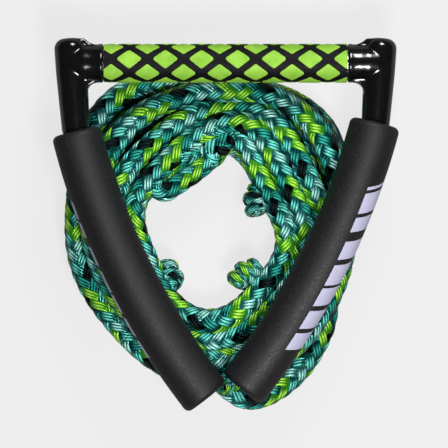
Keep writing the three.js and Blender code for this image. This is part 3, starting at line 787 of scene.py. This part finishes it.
DIAMOND_PITCH = 26.9                # between diamonds along the bar
DIAMOND_START = -71.6
DIAMOND_TURN = 10.6                 # degrees from the top towards the head side
DIAMOND_ROWS = 8
DIAMOND_HALF = (9.3, 7.8)           # half of its length and of its width, before the corners are rounded
DIAMOND_CORNER = 1.6
BAND_DEPTH = 0.55                   # the black bands lie this far below the diamonds
PAD_RINGS = [(0.33, 1), (0.16, 0.975), (0.06, 0.95), (0, 0.82), (0, 0.75), (0, 0.65), (0, 0.4)]


def enter_edit(piece):
    deselect_all()
    bpy.context.view_layer.objects.active = piece
    piece.select_set(True)
    bpy.ops.object.mode_set(mode="EDIT")
    bpy.ops.mesh.select_all(action="SELECT")


def leave_edit():
    bpy.ops.object.mode_set(mode="OBJECT")


def settle_in_place(piece):
    """Put a finished piece's place, turn and size into its mesh"""
    deselect_all()
    bpy.context.view_layer.objects.active = piece
    piece.select_set(True)
    bpy.ops.object.transform_apply(location=True, rotation=True, scale=True)


def grip_base(material):
    """The black sleeve between the diamonds, with eased ends"""
    deselect_all()
    radius = (GRIP_RADIUS - BAND_DEPTH) * MM
    bpy.ops.mesh.primitive_cylinder_add(vertices=96, radius=radius, depth=GRIP_LENGTH * MM,
                                        location=(0, BAR_Y * MM, 0), rotation=(0, math.pi / 2, 0))
    base = bpy.context.object
    base.name = "grip_bands"
    enter_edit(base)
    bpy.ops.mesh.select_mode(type="FACE")
    bpy.ops.mesh.select_all(action="DESELECT")
    leave_edit()
    for face in base.data.polygons:
        face.select = abs(face.normal.z) > 0.9
    bpy.ops.object.mode_set(mode="EDIT")
    bpy.ops.mesh.inset(thickness=0.6 * MM)
    bpy.ops.mesh.inset(thickness=2.2 * MM)
    leave_edit()
    settle_in_place(base)
    base.data.materials.append(material)
    return base


def diamond_outline():
    """Points round a diamond whose corners are rounded, starting on the long axis"""
    long, short = DIAMOND_HALF[0] - DIAMOND_CORNER * 1.3, DIAMOND_HALF[1] - DIAMOND_CORNER * 1.3
    tips = [(long, 0), (0, short), (-long, 0), (0, -short)]
    slope = math.degrees(math.atan2(long, short))
    points = []
    for i, tip in enumerate(tips):
        spread = 90 - (slope if i % 2 else 90 - slope)
        middle = 90 * i
        for k in range(5):
            angle = math.radians(middle - spread + spread * k / 2)
            points.append((tip[0] + DIAMOND_CORNER * math.cos(angle),
                           tip[1] + DIAMOND_CORNER * math.sin(angle)))
        following = tips[(i + 1) % 4]
        leave = math.radians(middle + spread)
        edge = np.array([DIAMOND_CORNER * math.cos(leave), DIAMOND_CORNER * math.sin(leave)])
        for k in range(1, 6):
            points.append(tuple(edge + np.array(tip) + (np.array(following) - np.array(tip)) * k / 6))
    return points


def diamond_pad(material):
    """One raised diamond, flat, lying at the origin: rounded corners, eased edges, rings to bend by"""
    deselect_all()
    outline = diamond_outline()
    bpy.ops.mesh.primitive_circle_add(vertices=len(outline), radius=10 * MM, fill_type="NGON")
    pad = bpy.context.object
    pad.name = "grip_diamond"
    order = sorted(pad.data.vertices, key=lambda one: math.atan2(one.co.y, one.co.x) % (2 * math.pi))
    outline.sort(key=lambda one: math.atan2(one[1], one[0]) % (2 * math.pi))
    for point, (x, y) in zip(order, outline):
        point.co = (x * MM, y * MM, 0)
    enter_edit(pad)
    bpy.ops.mesh.select_mode(type="FACE")
    for rise, share in PAD_RINGS:
        bpy.ops.mesh.extrude_region_move(TRANSFORM_OT_translate={"value": (0, 0, rise * MM)})
        bpy.ops.transform.resize(value=(share, share, 1), center_override=(0, 0, 0))
    leave_edit()
    pad.data.materials.append(material)
    return pad


def trim_pad(pad, along):
    """Cut a flat pad where it would run past the end of the sleeve"""
    for side in (-1, 1):
        reach = (GRIP_LENGTH / 2 - 0.2) * side - along
        if abs(reach) < DIAMOND_HALF[0]:
            enter_edit(pad)
            bpy.ops.mesh.bisect(plane_co=(reach * MM, 0, 0), plane_no=(side, 0, 0), use_fill=True,
                                clear_outer=True)
            leave_edit()


def wrap_on_bar(mesh, along, turn):
    """Bend a flat pad round the bar, at a distance along it and a turn from the top"""
    for point in mesh.vertices:
        x, y, z = point.co
        reach = (GRIP_RADIUS - BAND_DEPTH) * MM + z
        angle = math.radians(turn) + y / (GRIP_RADIUS * MM)
        point.co = (x + along * MM, BAR_Y * MM + reach * math.sin(angle), reach * math.cos(angle))


def make_grip():
    rubber = moulded_rubber("moulded_rubber_bands", "#060508", "#0C0A0E", 0.6)
    lime = moulded_rubber("moulded_rubber_lime", "#74A830", "#8CBC42", 0.5)
    base = grip_base(rubber)
    first = diamond_pad(lime)
    pads = []
    half = GRIP_LENGTH / 2
    for row in range(DIAMOND_ROWS):
        shift = DIAMOND_PITCH / 2 if row % 2 else 0
        for column in range(-1, 8):
            along = DIAMOND_START + column * DIAMOND_PITCH + shift
            if abs(along) > half + DIAMOND_HALF[0] - 2.5:
                continue
            pad = first.copy()
            pad.data = first.data.copy()
            bpy.context.scene.collection.objects.link(pad)
            trim_pad(pad, along)
            wrap_on_bar(pad.data, along, DIAMOND_TURN + 360 / DIAMOND_ROWS * row)
            pads.append(pad)
    bpy.data.objects.remove(first)
    deselect_all()
    for pad in pads:
        pad.select_set(True)
    bpy.context.view_layer.objects.active = pads[0]
    bpy.ops.object.join()
    diamonds = bpy.context.object
    diamonds.name = "grip_diamonds"
    for piece in (base, diamonds):
        deselect_all()
        bpy.context.view_layer.objects.active = piece
        piece.select_set(True)
        bpy.ops.object.shade_smooth_by_angle(angle=math.radians(32))
        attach(piece, "bar")
        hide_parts("grip_sleeve")


def moulded_rubber(name, low, high, roughness):
    """Soft moulded rubber: an even colour, slightly cloudy, with a fine satin skin"""
    material, tree = new_material(name)
    place = add_node(tree, "TexCoord", out="Object")
    cloud = add_node(tree, "TexNoise", {"Vector": place, "Scale": 1 / (9 * MM), "Detail": 4.0})
    grain = add_node(tree, "TexNoise", {"Vector": place, "Scale": 1 / (0.8 * MM), "Detail": 2.0})
    blend = add_node(tree, "MapRange", {0: cloud, 1: 0.3, 2: 0.7})
    colour = add_node(tree, "Mix", {0: blend, 6: paint(low), 7: paint(high)}, out=2, data_type="RGBA")
    rough = add_node(tree, "MapRange", {0: grain, 1: 0.3, 2: 0.7, 3: roughness - 0.06, 4: roughness + 0.08})
    bump = add_node(tree, "Bump", {"Height": grain, "Strength": 0.25, "Distance": 0.0003})
    shader = add_node(tree, "BsdfPrincipled", {"Base Color": colour, "Roughness": rough, "IOR": 1.5,
                                               "Specular IOR Level": 0.12, "Normal": bump})
    add_node_output(tree, shader)
    return material


# ---------------------------------------------------------------- end caps, tube and bushes

CAP_SKIN = 0.75 * MM                # grain of the even skin, and how often its edges are eased
CAP_EASINGS = 14


def glossy_abs():
    """Injection-moulded ABS in gloss black: a mirror skin with the faintest waviness"""
    material, tree = new_material("gloss_black_abs")
    place = add_node(tree, "TexCoord", out="Object")
    wave = add_node(tree, "TexNoise", {"Vector": place, "Scale": 1 / (14 * MM), "Detail": 1.0})
    dust = add_node(tree, "TexNoise", {"Vector": place, "Scale": 1 / (0.7 * MM), "Detail": 2.0})
    colour = add_node(tree, "Mix", {0: wave, 6: paint("#050506"), 7: paint("#0A0A0B")}, out=2,
                      data_type="RGBA")
    rough = add_node(tree, "MapRange", {0: dust, 1: 0.4, 2: 0.8, 3: 0.13, 4: 0.24})
    bump = add_node(tree, "Bump", {"Height": wave, "Strength": 0.15, "Distance": 0.002})
    shader = add_node(tree, "BsdfPrincipled", {"Base Color": colour, "Roughness": rough, "IOR": 1.5,
                                               "Normal": bump})
    add_node_output(tree, shader)
    return material


def mould_cap(word, material):
    """The cap with its edges eased, as they leave the mould"""
    source = bpy.data.objects[f"end_cap_{word}"]
    cap = bpy.data.objects.new(f"moulded_cap_{word}", source.data.copy())
    bpy.context.scene.collection.objects.link(cap)
    cap.data.materials.clear()
    enter_edit(cap)
    bpy.ops.mesh.remove_doubles(threshold=0.01 * MM)
    leave_edit()
    skin = cap.modifiers.new("even_skin", "REMESH")
    skin.mode = "VOXEL"
    skin.voxel_size = CAP_SKIN
    bpy.ops.object.modifier_apply(modifier=skin.name)
    ease = cap.modifiers.new("eased_edges", "SMOOTH")
    ease.factor = 0.5
    ease.iterations = CAP_EASINGS
    bpy.ops.object.modifier_apply(modifier=ease.name)
    bpy.ops.object.shade_smooth()
    cap.data.materials.append(material)
    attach(cap, "bar")
    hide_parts(f"end_cap_{word}")


def make_caps():
    plastic = glossy_abs()
    for word in ("left", "right"):
        mould_cap(word, plastic)


def drawn_aluminium():
    """Drawn aluminium tube: satin, with fine straight scratches from the die along its length"""
    material, tree = new_material("drawn_aluminium")
    place = add_node(tree, "TexCoord", out="Object")
    stretch = (1 / (60 * MM), 1 / (0.5 * MM), 1 / (0.5 * MM))
    along = add_node(tree, "Mapping", {"Vector": place, "Scale": stretch})
    streak = add_node(tree, "TexNoise", {"Vector": along, "Scale": 1.0, "Detail": 3.0})
    rough = add_node(tree, "MapRange", {0: streak, 1: 0.3, 2: 0.7, 3: 0.28, 4: 0.46})
    bump = add_node(tree, "Bump", {"Height": streak, "Strength": 0.2, "Distance": 0.0001})
    shader = add_node(tree, "BsdfPrincipled", {"Base Color": paint("#DBDCDF"), "Metallic": 1.0,
                                               "Roughness": rough, "Normal": bump})
    add_node_output(tree, shader)
    return material


def turned_nylon():
    """Turned nylon: dark, waxy, with the fine even rings that the lathe leaves round it"""
    material, tree = new_material("turned_nylon")
    place = add_node(tree, "TexCoord", out="Object")
    rings = add_node(tree, "TexWave", {"Vector": place, "Scale": 1 / (3 * MM), "Distortion": 0.4},
                     wave_type="BANDS", bands_direction="X")
    colour = add_node(tree, "Mix", {0: rings, 6: paint("#36363A"), 7: paint("#424247")}, out=2,
                      data_type="RGBA")
    bump = add_node(tree, "Bump", {"Height": rings, "Strength": 0.3, "Distance": 0.0002})
    shader = add_node(tree, "BsdfPrincipled", {"Base Color": colour, "Roughness": 0.45, "Normal": bump})
    add_node_output(tree, shader)
    return material


def shaded_core_braid():
    """The bridle rope inside the bar and arms: the same braid, in shade, so only its slanting strands
    and their mixed teal and lime show"""
    material, tree = new_material("braided_polypropylene_core")
    place = add_node(tree, "TexCoord", out="Object")
    lean = add_node(tree, "TexWave", {"Vector": place, "Scale": 1 / (12 * MM), "Distortion": 1.0},
                    out=1, wave_type="BANDS", bands_direction="DIAGONAL")
    patch = add_node(tree, "TexVoronoi", {"Vector": place, "Scale": 1 / (3.2 * MM)})
    hue = add_node(tree, "MapRange", {0: patch, 1: 0.2, 2: 0.8})
    light = add_node(tree, "Mix", {0: hue, 6: paint("#45BBAE"), 7: paint("#7FD24A")}, out=2, data_type="RGBA")
    # painted shade: the dark colour between the slanting strands
    colour = add_node(tree, "Mix", {0: lean, 6: paint("#031D22"), 7: light}, out=2, data_type="RGBA")
    bump = add_node(tree, "Bump", {"Height": lean, "Strength": 0.6, "Distance": 0.0006})
    shader = add_node(tree, "BsdfPrincipled", {"Base Color": colour, "Roughness": 0.4, "Normal": bump})
    add_node_output(tree, shader)
    return material


def finish_carried_parts():
    """Finishes for the parts that are shown as they were modelled"""
    finishes = {"bar_tube": drawn_aluminium(), "bridle_rope_bar": shaded_core_braid()}
    nylon = turned_nylon()
    for word in ("left", "right"):
        finishes[f"tube_bush_{word}"] = nylon
    for name, material in finishes.items():
        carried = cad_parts[name]
        carried.data.materials.clear()
        carried.data.materials.append(material)


tie_knots()
splice_eye()
lay_line()
lead_bridle_ropes()
make_floats()
make_grip()
make_caps()
finish_carried_parts()
